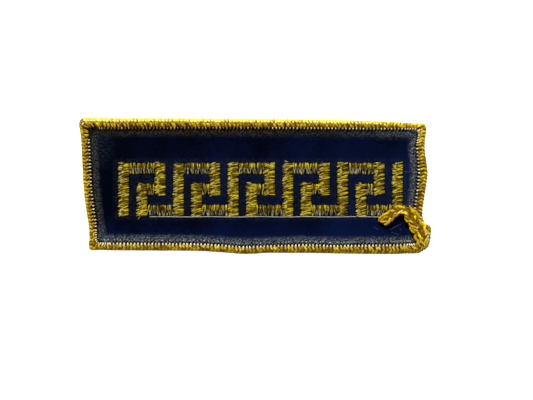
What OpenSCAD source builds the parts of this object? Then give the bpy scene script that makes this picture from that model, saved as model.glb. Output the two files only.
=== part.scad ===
// An embroidered iron-on patch, lying on its face with the ironing side up.
// A twill panel carries an ornament in satin stitch, sewn right through it, and
// a clear melt film on its back. An overlocked border binds the raw edge, and
// the border's thread chain runs off one corner as a short loose tail.
// +Z is up and out of the ironing side; the origin is under the middle, on the table.

/* [Patch] */
// Nominal length over the border
patch_l = 101.6; // [96:0.1:106]
// Nominal width over the border
patch_w = 38.1; // [36:0.1:40]

/* [Cloth and film] */
// Thickness of the twill with the stiffening that is woven into it
cloth_t = 1.0; // [1:0.05:1.2]
// Thickness of the melt film on the back
film_t = 0.15; // [0.1:0.05:0.25]
// Height of the cloth above the table, with the embroidered face under it
cloth_lift = 0.75; // [0.7:0.05:0.9]

/* [Border] */
// Thickness of the overlocked border
border_t = 2.4; // [2.2:0.1:2.8]
// Width of the border on the embroidered face
front_lip = 3.8; // [3.4:0.1:4.2]
// How far in from the border's rim the cloth is cut
cloth_inset = 1.1; // [0.9:0.05:1.3]

/* [Embroidery] */
// Width of a column of satin stitch
column_w = 3.3; // [3:0.1:3.5]
// Length of the whole key pattern
key_l = 83.1; // [80:0.1:84]
// Height of the whole key pattern
key_h = 15.5; // [15:0.1:17]
// Number of repeats of the key, before the closing column
key_count = 5; // [4:1:5]
// Height of the stitches over the cloth on the back
back_crown = 0.52; // [0.4:0.02:0.6]
// Height of the stitches over the cloth on the face
front_crown = 0.58; // [0.4:0.02:0.65]

/* [Loose tail] */
// Half the width of the thread chain that hangs off the corner
tail_r = 1.35; // [1:0.05:1.4]
// Number of loops along the chain
tail_loops = 7; // [5:1:9]

/* [Hidden] */

// Clearance between pieces that lie against each other
seat = 0.03;
// Clearance between the ends of neighbouring stitched columns
seam = 0.1;
// Clearance round the stitching where the film has melted back
film_gap = 0.12;
// Clearance between the film and the border's ridge
film_margin = 0.25;
// Half the width of the line of needle holes that a column is sewn through
needle_line = 0.3;

cloth_top = cloth_lift + cloth_t;
film_top = cloth_top + film_t;

// The rim seen from above, clockwise from the top left corner. The patch was
// cut out of square, so each point strays a little from a true rectangle. The
// ridge is the border's width on the back, which rolls outwards along the top.
X_SHARE = 0;
Y_SHARE = 1;
X_STRAY = 2;
Y_STRAY = 3;
TRIM = 4;
RIDGE = 5;
outline = [
    // x share, y share, x stray, y stray, corner trim, ridge
    [-1.00,  1.00, -0.4,  0.75, 1.7, 1.9],
    [-0.48,  1.00,  0.0,  0.70, 6.0, 2.4],
    [ 0.26,  1.00,  0.0,  0.35, 6.0, 2.4],
    [ 0.68,  1.00,  0.0, -0.10, 4.0, 2.2],
    [ 1.00,  1.00, -1.0, -0.95, 1.7, 1.7],
    [ 1.00,  0.60, -1.4,  0.00, 2.5, 1.7],
    [ 1.00,  0.20, -0.4,  0.00, 4.0, 1.8],
    [ 1.00, -0.45, -2.2,  0.00, 2.5, 1.7],
    [ 1.00, -0.78,  0.1,  0.00, 1.2, 1.9],
    [ 1.00, -0.93,  0.2,  0.00, 0.8, 2.0],
    [ 0.95, -1.00,  0.0, -0.35, 0.8, 1.9],
    [ 0.81, -1.00,  0.0, -0.75, 2.0, 1.7],
    [ 0.40, -1.00,  0.0, -0.40, 6.0, 1.7],
    [ 0.08, -1.00,  0.0, -0.35, 1.5, 1.7],
    [-0.05, -1.00,  0.0, -0.75, 1.5, 1.8],
    [-0.29, -1.00,  0.0,  0.20, 4.0, 1.7],
    [-1.00, -1.00,  2.6,  0.40, 1.5, 1.7],
    [-1.00, -0.58,  2.5,  0.00, 4.0, 1.6],
    [-1.00, -0.15,  1.1,  0.00, 4.0, 1.6],
    [-1.00,  0.40,  0.6,  0.00, 4.0, 1.5],
    [-1.00,  0.82,  0.2,  0.00, 1.0, 1.6]
];
least_trim = 0.25;
sharp_turn = 20;

// The border's section, from the rim down, in along the face, back along the
// slot and out over the ridge. Each point lies a fixed inset and a share of the
// ridge's width in from the rim.
INSET = 0;
SHARE = 1;
HEIGHT = 2;
border_section = [
    // inset, share of the ridge, height
    [0.00, 0.00, 0.50 * border_t],
    [0.15, 0.00, 0.22 * border_t],
    [0.85, 0.00, 0],
    [front_lip - 1.0, 0.00, 0],
    [front_lip - 0.2, 0.00, 0.14 * border_t],
    [front_lip, 0.00, cloth_lift - seat],
    [cloth_inset - seat, 0.00, cloth_lift - seat],
    [cloth_inset - seat, 0.00, cloth_top + seat],
    [0.00, 1.00, cloth_top + seat],
    [0.00, 1.00, 0.84 * border_t],
    [0.00, 0.86, 0.95 * border_t],
    [0.00, 0.58, border_t],
    [0.00, 0.30, 0.94 * border_t],
    [0.15, 0.00, 0.76 * border_t]
];

// One side of a stitched column's section, from the back to the face, in half
// widths out from its middle and in height. The crowns stand on the needle line,
// and their edges lift a little from the cloth.
back_foot = cloth_top + seat;
front_foot = cloth_lift - seat;
foot_lift = 0.04;
neck = needle_line / (column_w / 2);
column_side = [
    // half widths out, height
    [0.25, back_foot + back_crown],
    [0.70, back_foot + 0.86 * back_crown],
    [0.97, back_foot + 0.50 * back_crown],
    [1.00, back_foot + foot_lift],
    [neck, back_foot],
    [neck, front_foot],
    [1.00, front_foot - foot_lift],
    [0.97, front_foot - 0.50 * front_crown],
    [0.70, front_foot - 0.86 * front_crown],
    [0.25, front_foot - front_crown]
];

// Where the middle of the key pattern lies
key_at = [1.75, -1.0];
key_step = (key_l - column_w) / key_count;
key_bay = key_step / 3;
key_rise = (key_h - column_w) / 2;

// The tail's route from the corner over the border and the last column. Its
// width is a share of the chain's: it starts thin, and bunches up once.
tail_route = [
    // x, y, z, width
    [49.6, -18.0, 2.75, 0.45],
    [49.5, -17.2, 3.15, 0.70],
    [49.3, -16.0, 3.60, 0.90],
    [49.1, -14.4, 3.75, 1.00],
    [48.4, -12.6, 3.80, 1.25],
    [46.7, -10.5, 3.80, 1.10],
    [45.3,  -8.4, 3.85, 1.05],
    [44.0,  -7.0, 3.85, 0.90],
    [42.3,  -6.6, 3.75, 1.10],
    [40.6,  -7.7, 3.60, 1.05],
    [38.7,  -9.0, 3.50, 1.00],
    [36.9, -10.0, 3.35, 0.85]
];
tail_flatness = 0.75;
tail_steps = 4;
tail_sides = 8;

function unit(v) = v / norm(v);
function inward(v) = [v[1], -v[0]];
function wrap(i) = (i + len(outline)) % len(outline);

function rim_corner(i) = let (row = outline[wrap(i)]) [
    row[X_SHARE] * patch_l / 2 + row[X_STRAY],
    row[Y_SHARE] * patch_w / 2 + row[Y_STRAY]
];

// The way to move a corner so that both edges beside it shift in by 1
function mitre(before, after) =
    let (a = inward(unit(before)), b = inward(unit(after)))
    (a + b) / (1 + a * b);

// The turn from one edge to the next, positive where the rim bulges outwards
function turn(before, after) = atan2(-cross(before, after), before * after);

// A point on the curve from a to b that leaves a and meets b towards v
function bend(a, v, b, t) = (1 - t) * (1 - t) * a + 2 * t * (1 - t) * v + t * t * b;

// The rim shifted inwards, with each corner rounded. It has the same number of
// points at every depth, so that two of them can be joined point to point.
function rim_path(inset, share = 0) = [
    for (i = [0 : len(outline) - 1])
        let (
            here = rim_corner(i),
            before = here - rim_corner(i - 1),
            after = rim_corner(i + 1) - here,
            depth = inset + share * outline[i][RIDGE],
            v = here + mitre(before, after) * depth,
            angle = turn(before, after),
            trim = max(outline[i][TRIM] - depth * tan(angle / 2), least_trim),
            steps = abs(angle) > sharp_turn ? 4 : 2
        )
        for (k = [0 : steps])
            bend(v - unit(before) * trim, v, v + unit(after) * trim, k / steps)
];

// Moves the rim so that its box is centred on the origin
full_rim = rim_path(0);
rim_x = [for (p = full_rim) p[0]];
rim_y = [for (p = full_rim) p[1]];
rim_middle = [(min(rim_x) + max(rim_x)) / 2, (min(rim_y) + max(rim_y)) / 2];

// One key of the pattern: up, over, down, back, down and on to the next
function key_path(k) =
    let (
        half = column_w / 2,
        x = key_at[0] - key_l / 2 + half + k * key_step,
        y = key_at[1] - key_h / 2 + half
    )
    [
        [x, y - half],
        [x, y + 2 * key_rise],
        [x + 2 * key_bay, y + 2 * key_rise],
        [x + 2 * key_bay, y + key_rise],
        [x + key_bay, y + key_rise],
        [x + key_bay, y],
        [x + key_step - half - seam, y]
    ];

function closing_path() =
    let (column = key_path(key_count))
    [column[0], column[1] + [0, column_w / 2]];

// The sideways shift of each point of an open path, mitred at its corners
function path_side(path, i) =
    i == 0 ? inward(unit(path[1] - path[0]))
    : i == len(path) - 1 ? inward(unit(path[i] - path[i - 1]))
    : mitre(path[i] - path[i - 1], path[i + 1] - path[i]);

function beside(path, shift) = [
    for (i = [0 : len(path) - 1]) path[i] + path_side(path, i) * shift
];

function reversed(list) = [for (i = [len(list) - 1 : -1 : 0]) list[i]];

// The path with both ends drawn out by a length
function drawn_out(path, by) =
    let (last = len(path) - 1)
    [
        for (i = [0 : last])
            path[i]
            - (i == 0 ? by * unit(path[1] - path[0]) : [0, 0])
            + (i == last ? by * unit(path[last] - path[last - 1]) : [0, 0])
    ];

// A point on the smooth line through the route's points, at a share of its length
function on_route(route, t) =
    let (
        last = len(route) - 1,
        i = min(floor(t * last), last - 1),
        f = t * last - i,
        a = route[max(i - 1, 0)],
        b = route[i],
        c = route[i + 1],
        d = route[min(i + 2, last)]
    )
    b + 0.5 * f * (c - a + f * (2 * a - 5 * b + 4 * c - d + f * (3 * (b - c) + d - a)));

function on_tail(t) = let (p = on_route(tail_route, t)) [p[0], p[1], p[2]];

// One ring of the chain: it swells at each loop, and the loops lean left and
// right in turn. It starts beside its top and runs down the left and up the right.
function tail_ring(t) =
    let (
        ahead = unit(on_tail(min(t + 0.01, 1)) - on_tail(max(t - 0.01, 0))),
        across = unit(cross(ahead, [0, 0, 1])),
        up = cross(across, ahead),
        swell = 1 + 0.12 * sin(360 * (tail_loops * t - 0.25)),
        share = on_route(tail_route, t)[3],
        lean = 0.18 * share * tail_r * sin(180 * tail_loops * t),
        half_w = share * swell * tail_r,
        half_t = min(share, 1) * swell * tail_r * tail_flatness
    )
    [
        for (j = [0 : tail_sides - 1])
            let (a = 360 * (j + 0.5) / tail_sides)
            on_tail(t) + across * (lean - half_w * sin(a)) + up * half_t * cos(a)
    ];

// A solid through rings of points. Each ring runs from beside its top down one
// side and up the other. The solid is closed by a row of flat rungs at each end,
// or by joining the last ring to the first.
module skin(rings, looped = false) {
    m = len(rings[0]);
    n = len(rings);
    sides = [
        for (i = [0 : n - (looped ? 1 : 2)])
            for (j = [0 : m - 1])
                let (
                    a = i * m + j,
                    b = i * m + (j + 1) % m,
                    c = ((i + 1) % n) * m + (j + 1) % m,
                    d = ((i + 1) % n) * m + j
                )
                each [[a, b, c], [a, c, d]]
    ];
    far = (n - 1) * m;
    ends = looped ? [] : [
        for (j = [0 : m / 2 - 2])
            each [
                [j, m - 1 - j, m - 2 - j, j + 1],
                [far + j, far + j + 1, far + m - 2 - j, far + m - 1 - j]
            ]
    ];
    polyhedron(points = [for (ring = rings) each ring], faces = concat(sides, ends));
}

module strip(path, half) {
    polygon(concat(beside(path, -half), reversed(beside(path, half))));
}

// The twill panel, slit along the needle line under each stitched column
module twill_ground() {
    color([0.03, 0.05, 0.17])
    translate([-rim_middle[0], -rim_middle[1], cloth_lift])
    linear_extrude(cloth_t)
    difference() {
        polygon(rim_path(cloth_inset));
        for (k = [0 : key_count - 1])
            strip(drawn_out(key_path(k), seat), needle_line + seat);
        strip(drawn_out(closing_path(), seat), needle_line + seat);
    }
}

// The clear melt film, which has drawn back from the stitching
module iron_on_film() {
    color([0.10, 0.13, 0.28])
    translate([-rim_middle[0], -rim_middle[1], cloth_top])
    linear_extrude(film_t)
    difference() {
        polygon(rim_path(film_margin, 1));
        for (k = [0 : key_count - 1])
            strip(drawn_out(key_path(k), film_gap), column_w / 2 + film_gap);
        strip(drawn_out(closing_path(), film_gap), column_w / 2 + film_gap);
    }
}

// The overlocked border, a ring with a slot that the cloth's raw edge sits in
module merrow_border() {
    paths = [for (p = border_section) rim_path(p[INSET], p[SHARE])];
    color([0.80, 0.62, 0.04])
    translate([-rim_middle[0], -rim_middle[1], 0])
    skin([
        for (i = [0 : len(full_rim) - 1])
            [
                for (j = [0 : len(border_section) - 1])
                    [paths[j][i][0], paths[j][i][1], border_section[j][HEIGHT]]
            ]
    ], looped = true);
}

// The end of the border's thread chain, left uncut at the corner
module border_tail() {
    color([0.85, 0.66, 0.05])
    translate([-rim_middle[0], -rim_middle[1], 0])
    skin([
        for (i = [0 : tail_steps * (len(tail_route) - 1)])
            tail_ring(i / (tail_steps * (len(tail_route) - 1)))
    ]);
}

// A column of satin stitch that follows a path and is sewn through the cloth
module satin_column(path) {
    left = [for (p = column_side) beside(path, -p[0] * column_w / 2)];
    right = [for (p = column_side) beside(path, p[0] * column_w / 2)];
    last = len(column_side) - 1;
    color([0.78, 0.64, 0.06])
    translate([-rim_middle[0], -rim_middle[1], 0])
    skin([
        for (i = [0 : len(path) - 1])
            concat(
                [for (j = [0 : last]) [left[j][i][0], left[j][i][1], column_side[j][1]]],
                [for (j = [last : -1 : 0]) [right[j][i][0], right[j][i][1], column_side[j][1]]]
            )
    ]);
}

twill_ground();
iron_on_film();
merrow_border();
border_tail();
for (k = [0 : key_count - 1])
    satin_column(key_path(k));
satin_column(closing_path());  // satin_key_end
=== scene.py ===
import math

import bpy
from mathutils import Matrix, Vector, geometry, kdtree, noise


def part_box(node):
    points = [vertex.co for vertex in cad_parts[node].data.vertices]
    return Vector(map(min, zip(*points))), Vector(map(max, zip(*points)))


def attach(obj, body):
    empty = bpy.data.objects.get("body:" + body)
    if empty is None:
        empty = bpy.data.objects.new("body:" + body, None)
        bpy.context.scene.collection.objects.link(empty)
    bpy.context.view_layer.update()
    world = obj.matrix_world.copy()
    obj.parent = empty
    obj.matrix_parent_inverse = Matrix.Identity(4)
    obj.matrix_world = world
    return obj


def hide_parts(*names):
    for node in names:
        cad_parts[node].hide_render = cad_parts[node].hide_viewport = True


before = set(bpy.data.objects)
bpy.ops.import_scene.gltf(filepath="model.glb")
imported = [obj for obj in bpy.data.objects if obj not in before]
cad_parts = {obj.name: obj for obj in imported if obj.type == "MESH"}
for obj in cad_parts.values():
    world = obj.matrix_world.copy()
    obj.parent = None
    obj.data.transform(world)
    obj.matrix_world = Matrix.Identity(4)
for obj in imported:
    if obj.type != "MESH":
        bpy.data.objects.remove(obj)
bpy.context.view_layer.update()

# The ground: one panel of navy polyester twill, woven with stiffening and laid
# face down. It cockles a little between the stitching and the border, and the
# film that is pressed into it leaves it glossy; the soft uneven patches of that gloss are painted reflection
# in its colour.
MM = 0.001
PANEL_MESH = 1.3
MESH_ROWS, MESH_COLUMNS = 16, 45
ROW_STEP = 0.80048
COCKLE = 0.07
COCKLE_X, COCKLE_Y, COCKLE_FADE = 49.5, 18.4, 5
NAVY_DEEP = (0.0001, 0.0005, 0.0045)
NAVY_LIT = (0.002, 0.0065, 0.043)
RIB_PITCH = 0.62
TWILL_PITCH = 0.44


def loops_round(node):
    """The loops round the top of a flat CAD node, the outer one first, in mm."""
    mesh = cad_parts[node].data
    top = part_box(node)[1][2]
    edges = set()
    for face in mesh.polygons:
        corners = [mesh.vertices[i].co for i in face.vertices]
        if all(abs(c.z - top) < 1e-6 for c in corners):
            flat = [(round(c.x / MM, 3), round(c.y / MM, 3)) for c in corners]
            for a, b in zip(flat, flat[1:] + flat[:1]):
                if (b, a) in edges:
                    edges.remove((b, a))
                else:
                    edges.add((a, b))
    ahead = dict(sorted(edges))
    loops = []
    while ahead:
        start, point = ahead.popitem()
        loop = [start]
        while point != start:
            loop.append(point)
            point = ahead.pop(point)
        loops.append(loop)
    return sorted(loops, key=lambda loop: -max(p[0] for p in loop))


def cockle(x, y):
    """How far the ground stands off its flat height at a point, in mm."""
    free = max(0, min(1, (COCKLE_X - abs(x)) / COCKLE_FADE, (COCKLE_Y - abs(y)) / COCKLE_FADE))
    broad = noise.noise(Vector((x / 13, y / 17, 3.1)))
    fine = noise.noise(Vector((x / 4, y / 5, 8.7)))
    return COCKLE * free * (broad + 0.35 * fine)


def within(loops, x, y):
    """Whether a point lies inside the outer loop and in none of the holes."""
    inside = False
    for loop in loops:
        for (ax, ay), (bx, by) in zip(loop, loop[1:] + loop[:1]):
            if (ay > y) != (by > y) and x < ax + (y - ay) * (bx - ax) / (by - ay):
                inside = not inside
    return inside


def plain_piece(name, corners, faces, material):
    """An object from corners in mm and faces, with one material."""
    mesh = bpy.data.meshes.new(name)
    mesh.from_pydata([Vector(c) * MM for c in corners], [], faces)
    mesh.materials.append(material)
    mesh.shade_smooth()
    mesh.set_sharp_from_angle(angle=math.radians(50))
    piece = bpy.data.objects.new(name, mesh)
    bpy.context.collection.objects.link(piece)
    return piece


def laid_sheet(name, loops, spacing, low, high, material):
    """A closed sheet between two heights, meshed evenly, that follows the cockles."""
    rim = []
    joins = []
    for loop in loops:
        first = len(rim)
        for a, b in zip(loop, loop[1:] + loop[:1]):
            parts = max(1, round((Vector(b) - Vector(a)).length / spacing))
            rim += [Vector(a).lerp(Vector(b), k / parts) for k in range(parts)]
        count = len(rim) - first
        joins += [(first + k, first + (k + 1) % count) for k in range(count)]
    near = kdtree.KDTree(len(rim))
    for i, p in enumerate(rim):
        near.insert((p.x, p.y, 0), i)
    near.balance()
    filling = []
    for row in range(-MESH_ROWS, MESH_ROWS + 1):
        y = row * spacing * ROW_STEP
        for column in range(-MESH_COLUMNS, MESH_COLUMNS + 1):
            x = (column + 0.5 * (row % 2)) * spacing
            if near.find((x, y, 0))[2] > 0.5 * spacing and within(loops, x, y):
                filling.append(Vector((x, y)))
    spots, _, triangles, *_ = geometry.delaunay_2d_cdt(rim + filling, joins, [], 0, 1e-6)
    kept = []
    for t in triangles:
        middle = sum((spots[i] for i in t), Vector((0, 0))) / 3
        if within(loops, middle.x, middle.y):
            kept.append(tuple(t))
    n = len(spots)
    tops = [(p.x, p.y, high + cockle(p.x, p.y)) for p in spots]
    bottoms = [(p.x, p.y, low + cockle(p.x, p.y)) for p in spots]
    sides = {}
    for t in kept:
        for a, b in zip(t, t[1:] + t[:1]):
            if (b, a) in sides:
                del sides[(b, a)]
            else:
                sides[(a, b)] = (b, a, a + n, b + n)
    faces = kept + [tuple(i + n for i in reversed(t)) for t in kept] + list(sides.values())
    return plain_piece(name, tops + bottoms, faces, material)


def place(tree, kind, inputs=(), **settings):
    """Adds a node to a tree, sets it up, and wires or fills its inputs."""
    node = tree.nodes.new(kind)
    for key, value in settings.items():
        setattr(node, key, value)
    for key, value in dict(inputs).items():
        if isinstance(value, bpy.types.NodeSocket):
            tree.links.new(value, node.inputs[key])
        else:
            node.inputs[key].default_value = value
    return node


def made(tree, kind, inputs=(), **settings):
    """The first output of a new node."""
    return place(tree, kind, inputs, **settings).outputs[0]


def calc(tree, operation, *terms):
    """The result of one sum on numbers or sockets."""
    return made(tree, "ShaderNodeMath", enumerate(terms), operation=operation)


def weighed(tree, *parts):
    """The sum of numbers or sockets, each multiplied by its share."""
    so_far = 0.0
    for part, share in parts:
        so_far = calc(tree, "MULTIPLY_ADD", part, share, so_far)
    return so_far


def between(tree, value, start, end, low, high, **settings):
    """A number that runs from low to high while a value runs from start to end."""
    return made(tree, "ShaderNodeMapRange", enumerate((value, start, end, low, high)), **settings)


def cloud(tree, spot, scale, detail):
    """Soft noise over a place, about a half."""
    return made(tree, "ShaderNodeTexNoise", {"Vector": spot, "Scale": scale, "Detail": detail})


def ramp(tree, factor, *stops):
    """Colours that run from one stop to the next, each stop being (place, colour)."""
    node = place(tree, "ShaderNodeValToRGB", {"Fac": factor})
    line = node.color_ramp.elements
    while len(line) < len(stops):
        line.new(0.5)
    for element, (at, colour) in zip(line, stops):
        element.position = at
        element.color = (*colour, 1)
    return node.outputs["Color"]


def finish(name, plain):
    """A new material, its node tree and its shader, with the shader's plain values set."""
    material = bpy.data.materials.new(name)
    material.use_nodes = True
    shader = material.node_tree.nodes["Principled BSDF"]
    for socket, value in plain.items():
        shader.inputs[socket].default_value = value
    return material, material.node_tree, shader


def spot_in_mm(tree):
    """The place on the piece, in mm."""
    spot = place(tree, "ShaderNodeTexCoord").outputs["Object"]
    return made(tree, "ShaderNodeMapping", {"Vector": spot, "Scale": (1000, 1000, 1000)})


def heights(node):
    """The lowest and the highest level of a CAD node, in mm."""
    return [corner[2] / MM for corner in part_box(node)]


navy_twill, tree, shader = finish("navy_twill", {
    "Roughness": 0.75,
    "Specular IOR Level": 0.01,
    "Coat Weight": 0.06,
    "Coat Roughness": 0.15,
})
spot = spot_in_mm(tree)
x, y, _ = place(tree, "ShaderNodeSeparateXYZ", {0: spot}).outputs
ribs = calc(tree, "SINE", calc(tree, "MULTIPLY", y, math.tau / RIB_PITCH))
slope = weighed(tree, (x, 0.8), (y, 1.0))
twill_lines = calc(tree, "SINE", calc(tree, "MULTIPLY", slope, math.tau / TWILL_PITCH))
stretched = made(tree, "ShaderNodeMapping", {"Vector": spot, "Scale": (0.07, 0.05, 1)})
sheen_patches_painted = cloud(tree, stretched, 1.0, 2.0)
mottle = cloud(tree, spot, 0.9, 3.0)
top_dark = between(tree, y, 9.0, 14.0, 0.01, -0.055)
foot_light = between(tree, y, -8.5, -14.0, -0.045, 0.07)
upper_half = calc(tree, "GREATER_THAN", y, 0.0)
level = made(tree, "ShaderNodeMix", {0: upper_half, 2: foot_light, 3: top_dark})
# The cloth's colour: the weave's ribs and lines and a mottle, painted reflection in the broad lighter
# patches, painted light that makes it lighter towards the right, and a tint darker towards the top edge and
# lighter towards the foot.
tint = weighed(
    tree, (sheen_patches_painted, 0.5), (ribs, 0.045), (twill_lines, 0.02), (mottle, 0.16), (x, 0.002), (level, 1.0)
)
tree.links.new(ramp(tree, tint, (0.24, NAVY_DEEP), (0.5, NAVY_LIT)), shader.inputs["Base Color"])
height = weighed(tree, (ribs, 0.6), (twill_lines, 1.0))
weave = made(tree, "ShaderNodeBump", {"Height": height, "Strength": 0.5, "Distance": 0.00002})
tree.links.new(weave, shader.inputs["Normal"])

cloth_low, cloth_high = heights("twill_ground")
twill_panel = laid_sheet(
    "twill_panel", loops_round("twill_ground")[:1], PANEL_MESH, cloth_low, cloth_high, navy_twill
)
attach(twill_panel, "root")
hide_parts("twill_ground")

# The melt film: clear adhesive film, bonded to the whole back before the border
# was sewn. It shows as a dim milky veil beside the border, where the needle has
# pricked and puckered it, and round the stitching, where it has drawn back.
FILM_MESH = 1.1
FILM_SEAT = 0.01
# The veil's colours high up, at the sides and low down, beside the border and in. High up they are dark
# olive, as painted shade under the top of the border, and low down they are palest, as painted light.
VEIL_NEAR = ((0.021, 0.0155, 0.008), (0.019, 0.018, 0.014), (0.063, 0.065, 0.065))
VEIL_IN = ((0.02, 0.02, 0.019), (0.035, 0.038, 0.039), (0.075, 0.093, 0.12))
VEIL_MIDDLE = (0.026, 0.046, 0.09, 1)
# The near black painted shade inside the needle holes.
PIT_SHADE_PAINTED = (0.0005, 0.0005, 0.001, 1)
STITCH_PITCH = 1.02
RIM_LEVEL, RIDGE_LEVEL = 0.5, 0.84
CORNER_INSET = 4.6
STAND_TOP, STAND_RIGHT, STAND_LEFT = 0.03, 0.1, 0.07
BAND_SIDE, BAND_TOP, BAND_FOOT = 2.26, 2.66, 1.87
TOP_TAPER, END_TAPER, END_TAPER_FROM = 0.0095, 0.045, 34
FOOT_BULGE, FOOT_BULGE_AT, FOOT_BULGE_WIDE = 0.3, 16, 6
FOOT_WIDENS, FOOT_WIDENS_FROM, FOOT_WIDENS_MOST = 0.035, 22, 0.6
# Where the wraps lump: x, y, how tall and how wide.
SWELLS = (
    (-50.5, 17.3, 0.6, 1.5),
    (-50.0, -15.5, -0.35, 3.0),
    (-48.0, -18.8, 0.7, 1.0),
    (49.4, 17.8, 0.5, 1.4),
    (50.2, 4.0, 0.35, 2.6),
    (50.4, -13.4, 1.05, 1.7),
    (30.0, -19.4, 0.12, 14.0),
)
MARGIN_STEPS = (-0.5, -0.1, 0.1, 0.26, 0.42, 0.58, 0.74, 1.0, 1.5, 2.2, 3.2)
HOLE_SLANT = 0.45
HOLE_MIDDLE, HOLE_LONG, HOLE_WIDE = 0.43, 0.47, 0.24
HOLE_DEPTH = 0.14
PUCKER, PUCKER_REACH = 0.03, 2.5
MARGIN_LIFT, MARGIN_FALL, MARGIN_DEPTH = 0.05, 0.014, 0.14


def cad_line(node, height):
    """The corners of a CAD node at one height, clockwise seen from above, in mm."""
    corners = {
        (round(v.co.x / MM, 3), round(v.co.y / MM, 3))
        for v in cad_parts[node].data.vertices
        if abs(v.co.z / MM - height) < 0.01
    }
    return [Vector(c) for c in sorted(corners, key=lambda p: -math.atan2(p[1], p[0]))]


def nearest_on(line, p):
    """The nearest point to p on a closed line."""
    best = None
    for a, b in zip(line, line[1:] + line[:1]):
        share = geometry.intersect_point_line(p, a, b)[1]
        q = a.lerp(b, max(0, min(1, share)))
        if best is None or (q - p).length < (best - p).length:
            best = q
    return best


def evenly(line, pitch):
    """Points along a closed line, as near to a pitch apart as goes round evenly."""
    spans = [(a, b, (b - a).length) for a, b in zip(line, line[1:] + line[:1])]
    count = round(sum(length for *_, length in spans) / pitch)
    pitch = sum(length for *_, length in spans) / count
    points = []
    left = 0
    for a, b, length in spans:
        while left < length and len(points) < count:
            points.append(a.lerp(b, left / length))
            left += pitch
        left -= length
    return points


border_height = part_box("merrow_border")[1][2] / MM
rim_line = cad_line("merrow_border", RIM_LEVEL * border_height)
ridge_line = cad_line("merrow_border", RIDGE_LEVEL * border_height)
corner_ways = [(-1, 1), (1, 1), (1, -1), (-1, -1)]
inner_corners = [
    max(ridge_line, key=lambda p: p.x * across + p.y * up) - CORNER_INSET * Vector((across, up))
    for across, up in corner_ways
]


def way_in(p):
    """The direction from a point on the border towards the middle of the patch."""
    return (nearest_on(inner_corners, p) - p).normalized()


def stand_off(way):
    """How far the wraps stand out past the trimmed cloth, by the direction inwards."""
    return STAND_TOP * max(0, -way.y) + STAND_RIGHT * max(0, -way.x) + STAND_LEFT * max(0, way.x)


def wrapped_rim(p):
    """Where the wraps turn over the edge at a point, with the lumps at the corners."""
    out = stand_off(way_in(p))
    for x, y, tall, wide in SWELLS:
        out += tall * math.exp(-0.5 * ((p.x - x) ** 2 + (p.y - y) ** 2) / wide ** 2)
    return p - way_in(p) * out


def slant(way):
    """How much longer a step runs at a corner, where it lies aslant to both sides."""
    return 1 / max(abs(way.x), abs(way.y))


def needle_line(p):
    """Where the needle goes down, inwards from a point of the edge."""
    way = way_in(p)
    top = BAND_TOP - TOP_TAPER * p.x - END_TAPER * max(0, p.x - END_TAPER_FROM)
    bulge = FOOT_BULGE * math.exp(-((p.x - FOOT_BULGE_AT) / FOOT_BULGE_WIDE) ** 2)
    foot = BAND_FOOT + bulge + min(FOOT_WIDENS_MOST, FOOT_WIDENS * max(0, p.x - FOOT_WIDENS_FROM))
    band = BAND_SIDE + (top - BAND_SIDE) * max(0, -way.y) + (foot - BAND_SIDE) * max(0, way.y)
    return p + way * (band * slant(way) - stand_off(way))


def with_shares(item, name, shares):
    """Gives each point of an object a number, such as how fat the thread is there."""
    item.data.attributes.new(name, "FLOAT", "POINT").data.foreach_set("value", shares)
    return item


def carried(tree, name):
    """The number that the piece carries at each point."""
    return place(tree, "ShaderNodeAttribute", attribute_name=name).outputs["Fac"]


def mixed(tree, share, a, b):
    """One colour that goes over into another."""
    return place(tree, "ShaderNodeMix", {0: share, "A": a, "B": b}, data_type="RGBA").outputs["Result"]


def veil_colour(tree, spot, inward):
    """The film's milky grey: olive beside the border, bluer inwards; darkest high up, as painted shade under
    the top of the border, and palest low down and right, as painted light.
    """
    x, y, _ = place(tree, "ShaderNodeSeparateXYZ", {0: spot}).outputs
    low = between(tree, y, 15.5, -14.5, 0.0, 1.0)
    right = between(tree, x, 24.0, 36.0, 0.0, 0.93)
    far_right = between(tree, x, 42.0, 46.0, 0.0, 0.07)
    low = calc(tree, "MAXIMUM", low, calc(tree, "ADD", right, far_right))
    near, far = (
        ramp(tree, low, (0.0, top), (0.16, side), (0.85, side), (1.0, foot))
        for top, side, foot in (VEIL_NEAR, VEIL_IN)
    )
    return mixed(tree, between(tree, inward, 0.3, 2.0, 0.0, 1.0), near, far)


melt_film, tree, shader = finish("melt_film", {"Roughness": 0.3, "Specular IOR Level": 0.4})
spot = spot_in_mm(tree)
x, y, _ = place(tree, "ShaderNodeSeparateXYZ", {0: spot}).outputs
border_gap = carried(tree, "border_gap")
stitch_gap = carried(tree, "stitch_gap")
far_in = between(tree, border_gap, 2.5, 4.5, 0.0, 1.0)
film_tint = mixed(tree, far_in, veil_colour(tree, spot, border_gap), VEIL_MIDDLE)
tree.links.new(film_tint, shader.inputs["Base Color"])
blotches = calc(tree, "MULTIPLY", cloud(tree, spot, 0.35, 4.0), 1.8)
brushed = made(tree, "ShaderNodeMapping", {"Vector": spot, "Scale": (1.0, 2.6, 1)})
dust = between(tree, cloud(tree, brushed, 1.1, 3.0), 0.45, 0.75, 0.2, 3.0)
beside_border = between(tree, border_gap, 1.4, 3.8, 0.12, 0.0, interpolation_type="SMOOTHSTEP")
under_margin = between(tree, border_gap, 0.9, 2.0, 0.0, 1.0)
beside_stitch = between(tree, stitch_gap, 0.1, 1.8, 0.08, 0.0, interpolation_type="SMOOTHSTEP")
glow_left = between(tree, x, -46.0, -40.0, 0.13, 0.0)
glow_high = between(tree, y, 4.0, 11.0, 0.0, 1.0)
veil = weighed(tree, (beside_border, under_margin), (glow_left, glow_high), (beside_stitch, 1.0))
veil = calc(tree, "MULTIPLY_ADD", veil, blotches, 0.005)
tree.links.new(calc(tree, "MULTIPLY", veil, dust), shader.inputs["Alpha"])

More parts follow.
